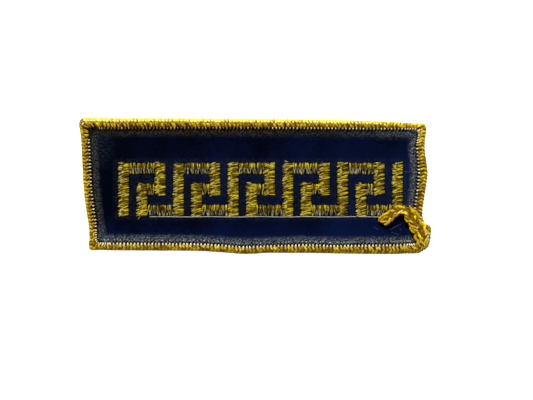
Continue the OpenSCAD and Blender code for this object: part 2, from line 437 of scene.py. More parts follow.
film_loops = loops_round("iron_on_film")
film_low, film_high = heights("iron_on_film")
film_sheet = laid_sheet("film_sheet", film_loops, FILM_MESH, film_low + FILM_SEAT, film_high, melt_film)
film_spots = [v.co.xy / MM for v in film_sheet.data.vertices]
stitch_lines = [[Vector(p) for p in loop] for loop in film_loops[1:]]
for name, lines in (("border_gap", [ridge_line]), ("stitch_gap", stitch_lines)):
    gaps = [min((nearest_on(line, p) - p).length for line in lines) for p in film_spots]
    with_shares(film_sheet, name, gaps)
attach(film_sheet, "root")
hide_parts("iron_on_film")

pricked_film, tree, shader = finish("pricked_film", {"Roughness": 0.6, "Specular IOR Level": 0.01})
spot = spot_in_mm(tree)
stitch_no = carried(tree, "stitch_no")
depth = carried(tree, "depth")
slanted = weighed(tree, (stitch_no, 1.0), (depth, HOLE_SLANT))
off_across = calc(tree, "DIVIDE", calc(tree, "SUBTRACT", calc(tree, "FRACT", slanted), 0.5), HOLE_WIDE)
off_along = calc(tree, "DIVIDE", calc(tree, "SUBTRACT", depth, HOLE_MIDDLE), HOLE_LONG)
off_hole = weighed(tree, (off_across, off_across), (off_along, off_along))
hole = between(tree, off_hole, 0.9, 1.5, 1.0, 0.0)
lie = made(tree, "ShaderNodeCombineXYZ", {
    0: calc(tree, "MULTIPLY", slanted, 1.7),
    1: calc(tree, "MULTIPLY", depth, 0.6),
})
streaks = cloud(tree, lie, 1.0, 2.0)
lumps = cloud(tree, spot, 0.5, 2.0)
specks = cloud(tree, spot, 2.2, 1.0)
high_up = between(tree, place(tree, "ShaderNodeSeparateXYZ", {0: spot}).outputs[1], 12.0, 14.5, 0.0, 0.35)
edge = weighed(tree, (depth, 1.0), (high_up, 1.0), (lumps, 1.2), (streaks, 0.8))
thins_out = between(tree, edge, 2.1, 4.1, 0.88, 0.0, interpolation_type="SMOOTHSTEP")
grain = weighed(tree, (streaks, 0.64), (specks, 0.36))
milk = calc(tree, "MULTIPLY", thins_out, between(tree, grain, 0.4, 0.6, 0.0, 1.9))
tree.links.new(calc(tree, "MAXIMUM", hole, milk), shader.inputs["Alpha"])
frosted = made(tree, "ShaderNodeVectorMath", {
    0: veil_colour(tree, spot, depth),
    "Scale": between(tree, cloud(tree, spot, 2.1, 1.0), 0.4, 0.62, 0.15, 1.9),
}, operation="SCALE")
# The needle holes are real pits in the film, painted near black as painted shade inside them.
tree.links.new(mixed(tree, hole, frosted, PIT_SHADE_PAINTED), shader.inputs["Base Color"])

rim_length = sum((a - b).length for a, b in zip(rim_line, rim_line[1:] + rim_line[:1]))
rim_spots = evenly(rim_line, STITCH_PITCH / 4)[:4 * round(rim_length / STITCH_PITCH)]
margin_corners = []
stitch_nos = []
depths = []
for i, rim_spot in enumerate(rim_spots):
    way = way_in(rim_spot)
    for step in MARGIN_STEPS:
        p = needle_line(rim_spot) + way * slant(way) * step
        turn = (i / 4 + HOLE_SLANT * step) % 1 - 0.5
        far = (turn / HOLE_WIDE) ** 2 + ((step - HOLE_MIDDLE) / HOLE_LONG) ** 2
        pucker = PUCKER * math.sin(math.tau * i / 4) * max(0, 1 - step / PUCKER_REACH)
        rises = MARGIN_LIFT + pucker - HOLE_DEPTH * max(0, 1 - far) - MARGIN_FALL * step
        margin_corners.append((p.x, p.y, film_high + cockle(p.x, p.y) + rises))
        stitch_nos.append(i / 4)
        depths.append(step)
under = len(margin_corners)
margin_corners += [(px, py, film_high + cockle(px, py) - MARGIN_DEPTH) for px, py, _ in margin_corners]
margin_faces = []
steps = len(MARGIN_STEPS)
last = steps - 1
for i in range(len(rim_spots)):
    a = i * steps
    b = (i + 1) % len(rim_spots) * steps
    for k in range(last):
        quad = (a + k, b + k, b + k + 1, a + k + 1)
        margin_faces += [quad[::-1], tuple(corner + under for corner in quad)]
    margin_faces.append((a, b, b + under, a + under))
    margin_faces.append((b + last, a + last, a + last + under, b + last + under))
pricked_margin = plain_piece("pricked_margin", margin_corners, margin_faces, pricked_film)
with_shares(pricked_margin, "stitch_no", stitch_nos * 2)
with_shares(pricked_margin, "depth", depths * 2)
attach(pricked_margin, "root")

# The embroidery: a key pattern in satin stitch, sewn right through the cloth with
# golden rayon. On this side the rayon is drawn over both edges of each column,
# and the cream bobbin thread that holds it shows where the two sides meet.
SATIN_RADIUS = 0.142
BOBBIN_RADIUS = 0.08
PACKED_OUT, PACKED_SHOULDER, PACKED_FROM = 1.35, 0.3, 0.4
BACK_LEVEL, FACE_LEVEL, SUNK = 2.0, 0.42, 0.02
LEG_INSET, CROSSING_INSET, STEP_INSET = 0.2, 0.15, 0.25


def group_tree(name, inputs, output):
    """A new geometry tree with named inputs, and the sockets that give them."""
    tree = bpy.data.node_groups.new(name, "GeometryNodeTree")
    for label, kind, value in inputs:
        socket = tree.interface.new_socket(name=label, in_out="INPUT", socket_type="NodeSocket" + kind)
        if value is not None:
            socket.default_value = value
    tree.interface.new_socket(name=output, in_out="OUTPUT", socket_type="NodeSocketGeometry")
    return tree, place(tree, "NodeGroupInput").outputs


def chance(tree, given, spread, number):
    """A random number for each stitch, up to a spread either way."""
    seed = calc(tree, "ADD", given["Seed"], float(number))
    any_share = place(tree, "FunctionNodeRandomValue", {2: -1.0, 3: 1.0, 8: seed}, data_type="FLOAT")
    return calc(tree, "MULTIPLY", any_share.outputs[1], spread)


def of_path(tree, name, kind="FLOAT"):
    """What the path says at each of its points, by name."""
    return made(tree, "GeometryNodeInputNamedAttribute", {"Name": name}, data_type=kind)


def marked(tree, shape, name, value, domain="POINT"):
    """A shape that carries a number by name."""
    inputs = {"Geometry": shape, "Name": name, "Value": value}
    return made(tree, "GeometryNodeStoreNamedAttribute", inputs, data_type="FLOAT", domain=domain)


# Spins curves into round threads: it wanders a little, keeps the distances along
# and around for the twist of the plies, and swells with the "fat" of the curve.
spin_thread, given = group_tree("spin_thread", [
    ("Curves", "Geometry", None),
    ("Radius", "Float", 0.2),
    ("Wander", "Float", 0.05),
    ("Seed", "Int", 0),
], "Threads")
tree = spin_thread
drift = place(tree, "ShaderNodeTexNoise", {
    "Vector": made(tree, "GeometryNodeInputPosition"),
    "W": given["Seed"],
    "Scale": 0.9,
    "Detail": 1.0,
}, noise_dimensions="4D").outputs["Color"]
drift = made(tree, "ShaderNodeVectorMath", {0: drift, 1: (0.5, 0.5, 0.5)}, operation="SUBTRACT")
drift = made(tree, "ShaderNodeVectorMath", {0: drift, "Scale": given["Wander"]}, operation="SCALE")
moved = made(tree, "GeometryNodeSetPosition", {"Geometry": given["Curves"], "Offset": drift})
run_length = place(tree, "GeometryNodeSplineParameter").outputs["Length"]
measured = marked(tree, moved, "along", run_length)
ring = made(tree, "GeometryNodeCurvePrimitiveCircle", {"Resolution": 6, "Radius": 1.0})
ring = marked(tree, ring, "around", made(tree, "GeometryNodeSplineParameter"))
tubes = made(tree, "GeometryNodeCurveToMesh", {
    "Curve": measured,
    "Profile Curve": ring,
    "Scale": calc(tree, "MULTIPLY", of_path(tree, "fat"), given["Radius"]),
    "Fill Caps": True,
})
tubes = made(tree, "GeometryNodeSetShadeSmooth", {"Geometry": tubes})
tubes = made(tree, "GeometryNodeTransform", {"Geometry": tubes, "Scale": (MM, MM, MM)})
place(tree, "NodeGroupOutput", {0: tubes})


def spun_end(tree, given, curves):
    """Ends a tree: its curves are spun into threads, realized and given their material."""
    same = {label: given[label] for label in ("Radius", "Wander", "Seed")}
    spun = made(tree, "GeometryNodeGroup", {"Curves": curves, **same}, node_tree=spin_thread)
    whole = made(tree, "GeometryNodeRealizeInstances", {0: spun})
    coloured = made(tree, "GeometryNodeSetMaterial", {0: whole, "Material": given["Material"]})
    place(tree, "NodeGroupOutput", {0: coloured})


# Repeats one stitch along a path, with its +X towards the path's "inward" side
# and stretched by the path's "reach". Turn, reach, slide and lift say how far a
# stitch may differ from the last, and wander how far its thread strays.
stitch_run, given = group_tree("stitch_run", [
    ("Path", "Geometry", None),
    ("Stitch", "Object", None),
    ("Each Point", "Bool", False),
    ("Pitch", "Float", 0.5),
    ("Radius", "Float", 0.2),
    ("Turn", "Float", 0.1),
    ("Reach", "Float", 0.05),
    ("Slide", "Float", 0.05),
    ("Lift", "Float", 0.03),
    ("Wander", "Float", 0.05),
    ("Seed", "Int", 0),
    ("Material", "Material", None),
], "Stitches")
tree = stitch_run
path = made(tree, "GeometryNodeMeshToCurve", {0: given["Path"]})
spaced = made(tree, "GeometryNodeResampleCurve", {"Curve": path, "Length": given["Pitch"]}, mode="LENGTH")
chosen = made(tree, "GeometryNodeSwitch", {
    "Switch": given["Each Point"],
    "False": spaced,
    "True": path,
}, input_type="GEOMETRY")
facing = made(tree, "FunctionNodeAxesToRotation", {
    "Primary Axis": (0, 0, 1),
    "Secondary Axis": of_path(tree, "inward", "FLOAT_VECTOR"),
}, primary_axis="Z", secondary_axis="X")
turn = made(tree, "ShaderNodeCombineXYZ", {2: chance(tree, given, given["Turn"], 1)})
turn = made(tree, "FunctionNodeEulerToRotation", {0: turn})
facing = made(tree, "FunctionNodeRotateRotation", {0: facing, 1: turn}, rotation_space="LOCAL")
longer = calc(tree, "ADD", 1.0, chance(tree, given, given["Reach"], 2))
stretch = made(tree, "ShaderNodeCombineXYZ", {
    0: calc(tree, "MULTIPLY", of_path(tree, "reach"), longer),
    1: 1.0,
    2: 1.0,
})
template = place(tree, "GeometryNodeObjectInfo", {0: given["Stitch"]}, transform_space="ORIGINAL")
template = made(tree, "GeometryNodeMeshToCurve", {0: template.outputs["Geometry"]})
laid = made(tree, "GeometryNodeInstanceOnPoints", {
    "Points": chosen,
    "Instance": template,
    "Rotation": facing,
    "Scale": stretch,
})
shift = made(tree, "ShaderNodeCombineXYZ", {
    1: chance(tree, given, given["Slide"], 3),
    2: chance(tree, given, given["Lift"], 4),
})
laid = made(tree, "GeometryNodeTranslateInstances", {0: laid, "Translation": shift})
laid = marked(tree, laid, "shade", chance(tree, given, 1.0, 5), "INSTANCE")
spun_end(tree, given, made(tree, "GeometryNodeRealizeInstances", {0: laid}))


def smooth_line(points, parts):
    """A smooth line through points of any number of values, each span cut into parts."""
    last = len(points) - 1
    line = []
    for i in range(last):
        four = zip(points[max(i - 1, 0)], points[i], points[i + 1], points[min(i + 2, last)])
        four = list(four)
        for f in (k / parts for k in range(parts)):
            line.append(tuple(
                b + 0.5 * f * (c - a + f * (2 * a - 5 * b + 4 * c - d + f * (3 * (b - c) + d - a)))
                for a, b, c, d in four
            ))
    return line + [tuple(points[last])]


def bare_lines(lines, closed=False):
    """A scratch object of bare edges along one or more lines of points, in mm."""
    edges = []
    first = 0
    for line in lines:
        edges += [(first + k, first + k + 1) for k in range(len(line) - 1)]
        if closed:
            edges.append((first + len(line) - 1, first))
        first += len(line)
    mesh = bpy.data.meshes.new("lines")
    mesh.from_pydata([p[:3] for line in lines for p in line], edges, [])
    item = bpy.data.objects.new("lines", mesh)
    bpy.context.collection.objects.link(item)
    return item


def path_of(lines, inward, reach=None, closed=False):
    """A scratch path for stitches, with the way inwards and the reach at each point."""
    item = bare_lines(lines, closed)
    flat = [number for way in inward for number in way]
    item.data.attributes.new("inward", "FLOAT_VECTOR", "POINT").data.foreach_set("vector", flat)
    return with_shares(item, "reach", reach or [1.0] * len(inward))


def sew(tree, path, **sizes):
    """Runs a tree along a scratch path and keeps the result as a plain mesh."""
    modifier = path.modifiers.new("sew", "NODES")
    modifier.node_group = tree
    for socket in tree.interface.items_tree:
        key = socket.name.lower().replace(" ", "_")
        if socket.in_out == "INPUT" and key in sizes:
            modifier[socket.identifier] = sizes[key]
    threads = bpy.data.meshes.new_from_object(path.evaluated_get(bpy.context.evaluated_depsgraph_get()))
    path.modifiers.remove(modifier)
    path.data = threads
    return path


def run_stitches(path, stitch, material, **sizes):
    """Sews one stitch, given as (x, y, z, fat) in mm, along a path."""
    points = smooth_line(stitch, 2)
    template = with_shares(bare_lines([points]), "fat", [p[3] for p in points])
    threads = sew(stitch_run, path, stitch=template, material=material, **sizes)
    bpy.data.objects.remove(template)
    return threads


def one_piece(name, parts):
    """Joins the parts of one piece into a single mesh."""
    with bpy.context.temp_override(
        active_object=parts[0], object=parts[0], selected_objects=parts, selected_editable_objects=parts
    ):
        bpy.ops.object.join()
    parts[0].name = name
    parts[0].data.name = name
    return parts[0]


def thread_finish(name, dark, mid, light, roughness=0.42, vary=0.34):
    """Silky plied thread: the strands vary in shade, and the plies twist round each one."""
    material, tree, shader = finish(name, {
        "Roughness": roughness,
        "Roughness": roughness,
        "Specular IOR Level": 0.5,
        "Specular Tint": (*(min(1, 1.3 * c + 0.05) for c in light), 1),
        "Sheen Weight": 0.06,
        "Sheen Roughness": 0.4,
        "Sheen Tint": (*light, 1),
    })
    spot = spot_in_mm(tree)
    tone = weighed(tree, (carried(tree, "shade"), vary), (cloud(tree, spot, 1.3, 2.0), 1.0))
    tree.links.new(ramp(tree, tone, (0.15, dark), (0.48, mid), (0.85, light)), shader.inputs["Base Color"])
    plies = weighed(tree, (carried(tree, "along"), 2.2), (carried(tree, "around"), 2.0))
    plies = calc(tree, "SINE", calc(tree, "MULTIPLY", plies, math.tau))
    height = weighed(tree, (plies, 0.5), (cloud(tree, spot, 7.0, 2.0), 1.0))
    bump = made(tree, "ShaderNodeBump", {"Height": height, "Strength": 0.7, "Distance": 0.00004})
    tree.links.new(bump, shader.inputs["Normal"])
    return material


gold_rayon = thread_finish("gold_rayon", (0.022, 0.01, 0.0), (0.21, 0.132, 0.001), (0.8, 0.63, 0.02), 0.36)
bobbin_thread = thread_finish("bobbin_thread", (0.22, 0.18, 0.08), (0.5, 0.43, 0.22), (0.8, 0.74, 0.5))
olive_thread = thread_finish("olive_thread", (0.04, 0.035, 0.012), (0.2, 0.18, 0.08), (0.5, 0.46, 0.26))
# The packing under the satin is painted near black-brown, as painted shade between the strands.
packed_thread = thread_finish(
    "packed_thread", (0.008, 0.004, 0.0), (0.022, 0.011, 0.001), (0.06, 0.03, 0.001), 0.8
)

column_low, column_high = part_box("satin_key_end")
column_w = (column_high[0] - column_low[0]) / MM
half = column_w / 2
rise = ((column_high[1] - column_low[1]) / MM - column_w) / 2
rows = [column_low[1] / MM + half + rise * k for k in range(3)]
key_starts = [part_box(f"satin_key_{k}")[0][0] / MM for k in range(1, 6)] + [column_low[0] / MM]
key_step = key_starts[1] - key_starts[0]
UP = (1, 0, 0)
LEFT = (0, 1, 0)

edge_to_middle = [
    (1.5, 0.18, 1.72, 0.8), (1.42, 0.17, 1.98, 1), (0.95, 0.1, 2.12, 1.1), (0.1, -0.06, 2.13, 1),
    (-0.5, -0.2, 1.9, 0.6),
]
short_side = [
    (-1.52, -0.18, 1.74, 0.8), (-1.42, -0.16, 1.97, 1), (-0.95, -0.02, 2.1, 1.1), (-0.3, 0.22, 1.94, 0.6),
]
crossing_end = [(-1.1, -0.14, 2.0, 0.6), (-0.7, 0, 2.16, 1), (-0.1, 0.15, 2.18, 1), (0.3, 0.22, 2.05, 0.6)]
bobbin_link = [
    (-1.05, -0.14, 2.08, 0.6), (-0.8, 0, 2.2, 1.1), (-0.5, 0.14, 2.2, 1.1), (-0.25, 0.24, 2.08, 0.6),
]
upper_tuft = [
    (1.52, 0, 1.72, 0.8), (1.46, 0, 2.0, 1.15), (1.0, 0, 2.18, 1.25), (0.4, 0, 2.12, 0.95),
    (-0.15, 0, 1.9, 0.5),
]
lower_leg = [(0.3, 0, 1.96, 0.8), (-0.4, 0.05, 2.03, 1), (-1.0, 0.03, 2.0, 1.1), (-1.5, 0, 1.86, 0.9)]
lower_tuft = [(-1.52, 0, 1.8, 0.8), (-1.42, 0, 1.98, 1.1), (-1.1, 0, 2.02, 1), (-0.8, 0, 1.92, 0.5)]
face_strand = [
    (-1.5, 0, 0.62, 0.8), (-1.3, 0, 0.40, 1), (-0.6, 0, 0.26, 1), (0.6, 0, 0.26, 1), (1.3, 0, 0.40, 1),
    (1.5, 0, 0.62, 0.8),
]


def satin_piece(name, node, uprights, crossings, seed):
    """One repeat of the pattern, its upright legs and its crossing legs."""
    parts = []
    corners = []
    faces = []
    out = PACKED_OUT
    back, face = (cloth_high - SUNK, BACK_LEVEL), (cloth_low + SUNK, FACE_LEVEL)
    for legs, way, left in ((uprights, UP, -out), (crossings, LEFT, PACKED_FROM)):
        for start, end in legs:
            for (low, high), edge in ((back, left), (face, -out)):
                first = len(corners)
                middle = (low + high) / 2
                outline = [
                    (edge, low), (edge, middle), (edge + PACKED_SHOULDER, high),
                    (out - PACKED_SHOULDER, high), (out, middle), (out, low),
                ]
                for at in (start, end):
                    corners += [(at[0] + way[0] * s, at[1] + way[1] * s, z) for s, z in outline]
                loop = list(range(first, first + 6))
                step = 1 if high > low else -1
                for a, b in zip(loop, loop[1:] + loop[:1]):
                    faces.append((a, b, b + 6, a + 6)[::step])
                faces.append(tuple(loop)[::-step])
                faces.append(tuple(i + 6 for i in loop)[::step])
    parts.append(plain_piece("packing", corners, faces, packed_thread))

    def sewn(legs, way, stitch, material, pitch, radius, **spreads):
        lines = [[(*start, 0), (*end, 0)] for start, end in legs]
        inward = [way for line in lines for _ in line]
        parts.append(run_stitches(
            path_of(lines, inward), stitch, material, pitch=pitch, radius=radius,
            seed=seed * 100 + len(parts), **spreads,
        ))

    loose = {"turn": 0.2, "reach": 0.04, "slide": 0.12, "lift": 0.08, "wander": 0.12}
    looser = {**loose, "turn": 0.3, "reach": 0.08}
    scattered = {**looser, "turn": 0.7, "reach": 0.6, "slide": 0.25}
    straight = {"turn": 0.03, "wander": 0.04}
    sewn(uprights, UP, edge_to_middle, gold_rayon, 0.36, SATIN_RADIUS, **loose)
    sewn(uprights, UP, short_side, gold_rayon, 0.38, SATIN_RADIUS, **looser)
    sewn(uprights, UP, crossing_end, gold_rayon, 0.8, 0.11, **{**looser, "turn": 0.6})
    sewn(uprights, UP, bobbin_link, bobbin_thread, 0.52, BOBBIN_RADIUS, **scattered)
    sewn(uprights, UP, face_strand, gold_rayon, 0.36, 0.18, **straight)
    if crossings:
        sewn(crossings, LEFT, upper_tuft, gold_rayon, 0.42, SATIN_RADIUS, **{**looser, "turn": 0.2})
        sewn(crossings, LEFT, lower_leg, olive_thread, 0.42, 0.09, **looser)
        sewn(crossings, LEFT, lower_tuft, gold_rayon, 1.0, 0.15, **looser)
        sewn(crossings, LEFT, face_strand, gold_rayon, 0.36, 0.18, **straight)
    piece = one_piece(name, parts)
    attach(piece, "root")
    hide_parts(node)
    return piece


bottom = rows[0] - half + LEG_INSET
top = rows[2] + half - LEG_INSET
for k in range(5):
    first = key_starts[k] + half
    second, third = first + key_step / 3, first + 2 * key_step / 3
    far_end = third - half - CROSSING_INSET
    satin_piece(
        f"satin_key_thread_{k + 1}",
        f"satin_key_{k + 1}",
        [
            ((first, bottom), (first, top)),
            ((third, rows[1] - half + LEG_INSET), (third, top)),
            ((second, bottom), (second, rows[1] + half - LEG_INSET)),
        ],
        [
            ((far_end, rows[2]), (first + half + CROSSING_INSET, rows[2])),
            ((far_end, rows[1]), (second + half + CROSSING_INSET, rows[1])),
            ((first + key_step - half - STEP_INSET, rows[0]), (second + half + CROSSING_INSET, rows[0])),
        ],
        k + 1,
    )
closing = key_starts[5] + half
satin_piece("satin_key_thread_end", "satin_key_end", [((closing, bottom), (closing, top))], [], 6)

# The border: thick golden overlock thread, wrapped over the cut edge about 25
# times an inch. On this side each wrap bends once on top of the ridge, so that
# the wraps look braided, and on the face they run straight across a flat band.
CORE_DEPTH = 0.3
WRAP_REACH = 2.16
FOOT_FROM, TOP_FROM = 0.8, -0.7
RIGHT_TOP_FROM = 38

edge_spots = evenly(rim_line, STITCH_PITCH)
gap_spots = [(a + b) / 2 for a, b in zip(edge_spots, edge_spots[1:] + edge_spots[:1])]
rim_ways = [(*way_in(p), 0) for p in edge_spots]

outer_wrap = [
    (0.66, 0.22, 0.54, 0.8), (0.34, 0.26, 0.88, 1), (0.33, 0.24, 1.45, 1), (0.5, 0.06, 1.92, 1.05),
    (0.82, -0.2, 2.02, 1), (1.0, -0.36, 1.66, 0.8),
]
inner_wrap = [
    (0.86, -0.3, 1.62, 0.8), (1.02, -0.22, 1.98, 1), (1.36, 0.0, 2.1, 1.05), (1.72, 0.2, 1.92, 1),
    (1.84, 0.28, 1.6, 0.8),
]
top_outer_wrap = [
    (0.42, 0.2, 0.58, 0.8), (0.24, 0.22, 0.9, 1), (0.24, 0.18, 1.45, 1), (0.42, 0.05, 1.94, 1.05),
    (0.76, -0.12, 2.24, 1.0), (1.04, -0.24, 1.94, 0.7),
]
top_inner_wrap = [
    (0.96, -0.24, 1.7, 0.8), (1.06, -0.16, 2.1, 1), (1.36, 0.0, 2.08, 1.1), (1.72, 0.18, 1.86, 1.0),
    (1.92, 0.28, 1.54, 0.7),
]
gap_wrap = [(0.5, 0.2, 0.6, 0.8), (0.25, 0.22, 0.95, 1), (0.25, 0.2, 1.5, 1), (0.52, 0.04, 1.88, 0.9)]
face_wrap = [
    (0.4, 0, 0.9, 0.8), (0.52, 0, 0.44, 1), (1.9, 0, 0.3, 1), (3.3, 0, 0.44, 0.9), (3.6, 0, 0.66, 0.6),
]


def shrunk_copy(name, node, by, material):
    """A CAD node's shape as one closed mesh, drawn in by a depth in mm."""
    core = bpy.data.objects.new(name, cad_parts[node].data.copy())
    bpy.context.collection.objects.link(core)
    merge = core.modifiers.new("merge", "WELD")
    merge.merge_threshold = 1e-6
    draw_in = core.modifiers.new("draw_in", "DISPLACE")
    draw_in.strength = -by * MM
    draw_in.mid_level = 0
    mesh = bpy.data.meshes.new_from_object(core.evaluated_get(bpy.context.evaluated_depsgraph_get()))
    core.modifiers.clear()
    core.data = mesh
    for corner in mesh.vertices:
        corner.co.z = max(corner.co.z, by * MM)
    mesh.materials.clear()
    mesh.materials.append(material)
    return core


# The border's one golden thread is painted in lit and shaded copies, as painted light: lemon where the top
# rim faces the lamp, gold and amber in middling light, burnt along the top's inner row, and umber and shaded
# in the gaps, down the right and along the foot.
gold_wrap = thread_finish("gold_wrap", (0.12, 0.05, 0), (0.5, 0.31, 0.003), (0.95, 0.72, 0.02), 0.4, 0.2)
amber_wrap = thread_finish("amber_wrap", (0.09, 0.04, 0), (0.38, 0.235, 0.003), (0.82, 0.58, 0.02), 0.4, 0.2)
burnt_wrap = thread_finish("burnt_wrap", (0.09, 0.03, 0), (0.46, 0.23, 0.002), (0.94, 0.6, 0.014), 0.4, 0.3)
umber_wrap = thread_finish("umber_wrap", (0.04, 0.016, 0), (0.19, 0.11, 0.001), (0.56, 0.37, 0.01), 0.45, 0.2)
shaded_wrap = thread_finish(
    "shaded_wrap", (0.02, 0.008, 0), (0.1, 0.055, 0.001), (0.3, 0.19, 0.005), 0.5, 0.1
)
lemon_wrap = thread_finish(
    "lemon_wrap", (0.45, 0.29, 0.003), (0.84, 0.69, 0.01), (0.96, 0.88, 0.07), 0.4, 0.3
)
# The core under the wraps is painted dark red-brown, as painted shade in the gaps between them.
border_core = thread_finish("border_core", (0.03, 0.01, 0), (0.08, 0.028, 0.001), (0.15, 0.065, 0.001), 0.8)
on_top = [way[1] < TOP_FROM for way in rim_ways]
lemon_top = [top and p.x < RIGHT_TOP_FROM for top, p in zip(on_top, edge_spots)]
right_top = [top and p.x >= RIGHT_TOP_FROM for top, p in zip(on_top, edge_spots)]
on_foot = [way[1] > FOOT_FROM for way in rim_ways]
beside = [TOP_FROM <= way[1] <= FOOT_FROM for way in rim_ways]
on_left = [side and p.x < 0 for side, p in zip(beside, edge_spots)]
upper_right = [side and p.x > 0 and p.y > 0 for side, p in zip(beside, edge_spots)]
lower_right = [side and p.x > 0 and p.y <= 0 for side, p in zip(beside, edge_spots)]


def picked(points, wanted):
    """The points along one stretch of the border, as one unbroken line."""
    start = next(i for i in range(len(wanted)) if wanted[i] and not wanted[i - 1])
    turned = points[start:] + points[:start]
    return turned[:sum(wanted)]


def wrap_path(spots):
    """A path for the wraps from spots on the edge, each reaching in to the needle line."""
    outer = [wrapped_rim(p) for p in spots]
    reaches = [(needle_line(p) - q).length / WRAP_REACH for p, q in zip(spots, outer)]
    return path_of([[(*q, 0) for q in outer]], [(*way_in(p), 0) for p in spots], reaches)


border_parts = [shrunk_copy("core", "merrow_border", CORE_DEPTH, border_core)]
for number, (spots, stretch, wrap, material, radius, spread, each) in enumerate((
    (gap_spots, lemon_top, gap_wrap, lemon_wrap, 0.36, 0.06, True),
    (gap_spots, right_top, gap_wrap, umber_wrap, 0.33, 0.06, True),
    (gap_spots, on_left, gap_wrap, umber_wrap, 0.34, 0.06, True),
    (gap_spots, upper_right, gap_wrap, shaded_wrap, 0.34, 0.06, True),
    (gap_spots, lower_right, gap_wrap, shaded_wrap, 0.32, 0.06, True),
    (gap_spots, on_foot, gap_wrap, shaded_wrap, 0.34, 0.06, True),
    (edge_spots, lemon_top, top_outer_wrap, lemon_wrap, 0.48, 0.06, True),
    (edge_spots, right_top, top_outer_wrap, lemon_wrap, 0.38, 0.06, True),
    (edge_spots, on_top, top_inner_wrap, burnt_wrap, 0.25, 0.2, False),
    (edge_spots, on_left, outer_wrap, amber_wrap, 0.43, 0.08, True),
    (edge_spots, on_left, inner_wrap, amber_wrap, 0.25, 0.14, True),
    (edge_spots, upper_right, outer_wrap, amber_wrap, 0.38, 0.08, True),
    (edge_spots, upper_right, inner_wrap, gold_wrap, 0.31, 0.14, True),
    (edge_spots, lower_right, outer_wrap, amber_wrap, 0.35, 0.08, True),
    (edge_spots, lower_right, inner_wrap, umber_wrap, 0.26, 0.14, True),
    (edge_spots, on_foot, outer_wrap, umber_wrap, 0.42, 0.08, True),
    (edge_spots, on_foot, inner_wrap, gold_wrap, 0.32, 0.14, True),
)):
    border_parts.append(run_stitches(
        wrap_path(picked(spots, stretch)), wrap, material, each_point=each, pitch=0.5, radius=radius,
        turn=spread, reach=0.03, slide=0.06, lift=0.04, wander=0.1, seed=700 + number,
    ))
fine_spots = evenly(rim_line, STITCH_PITCH / 2)
fine_path = path_of([[(*p, 0) for p in fine_spots]], [(*way_in(p), 0) for p in fine_spots], closed=True)
border_parts.append(run_stitches(
    fine_path, face_wrap, gold_wrap, each_point=True, radius=0.28, turn=0.03, reach=0.01, slide=0.02,
    lift=0.0, wander=0.0, seed=720,
))
border_threads = one_piece("border_threads", border_parts)
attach(border_threads, "root")
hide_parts("merrow_border")

# The needle thread of the border: fine cream thread that pins each wrap down
# beside the ridge, with a fat loop at the ridge, and a lock and a thin leg that
# slant away under the film. Along the top it also rides up between the wraps.
LEG_RADIUS = 0.05
DIM_FROM, DIM_TO = -46.5, 5
LEFT_DOTS_TO = 14.2

needle_loop = [
    (-0.22, -0.03, 1.82, 0.8), (-0.08, -0.02, 2.02, 1.3), (0.06, 0.0, 2.05, 1.35), (0.2, 0.02, 1.99, 1.0),
    (0.38, 0.04, 1.88, 0.4),
]
foot_loop = [
    (-0.36, -0.05, 1.86, 0.9), (-0.2, -0.03, 2.1, 1.3), (0.0, 0.0, 2.12, 1.4), (0.18, 0.03, 2.02, 1.1),
    (0.38, 0.06, 1.88, 0.4),
]
short_leg = [
    (0.42, -0.2, 1.86, 0.6), (0.64, -0.34, 1.93, 1.0), (0.84, -0.44, 1.94, 0.9), (1.02, -0.52, 1.88, 0.6),
]
lock_stitch = [
    (0.98, -0.16, 1.9, 0.7), (1.06, -0.06, 2.0, 1.4), (1.12, 0.06, 2.0, 1.4), (1.16, 0.18, 1.9, 0.7),
]
between_wraps = [
    (0.7, -0.34, 2.48, 0.8), (0.84, -0.24, 2.74, 1.1), (1.0, -0.1, 2.74, 1.1), (1.14, 0.04, 2.48, 0.8),
]

cream_needle = thread_finish("cream_needle", (0.5, 0.38, 0.16), (0.9, 0.76, 0.42), (0.98, 0.9, 0.62))
# A lit copy of the cream needle thread, painted brighter as painted light where it rides between the top
# wraps and along the foot.
bright_needle = thread_finish("bright_needle", (0.7, 0.58, 0.26), (0.95, 0.86, 0.52), (1.0, 0.95, 0.74))
olive_needle = thread_finish("olive_needle", (0.08, 0.05, 0.014), (0.26, 0.18, 0.07), (0.55, 0.41, 0.2))
tan_needle = thread_finish("tan_needle", (0.34, 0.27, 0.14), (0.72, 0.61, 0.38), (0.92, 0.83, 0.6))
veiled_thread = thread_finish("veiled_thread", (0.02, 0.02, 0.018), (0.07, 0.07, 0.06), (0.2, 0.19, 0.16))
foot_needle = thread_finish("foot_needle", (0.08, 0.08, 0.08), (0.22, 0.23, 0.22), (0.5, 0.5, 0.45))

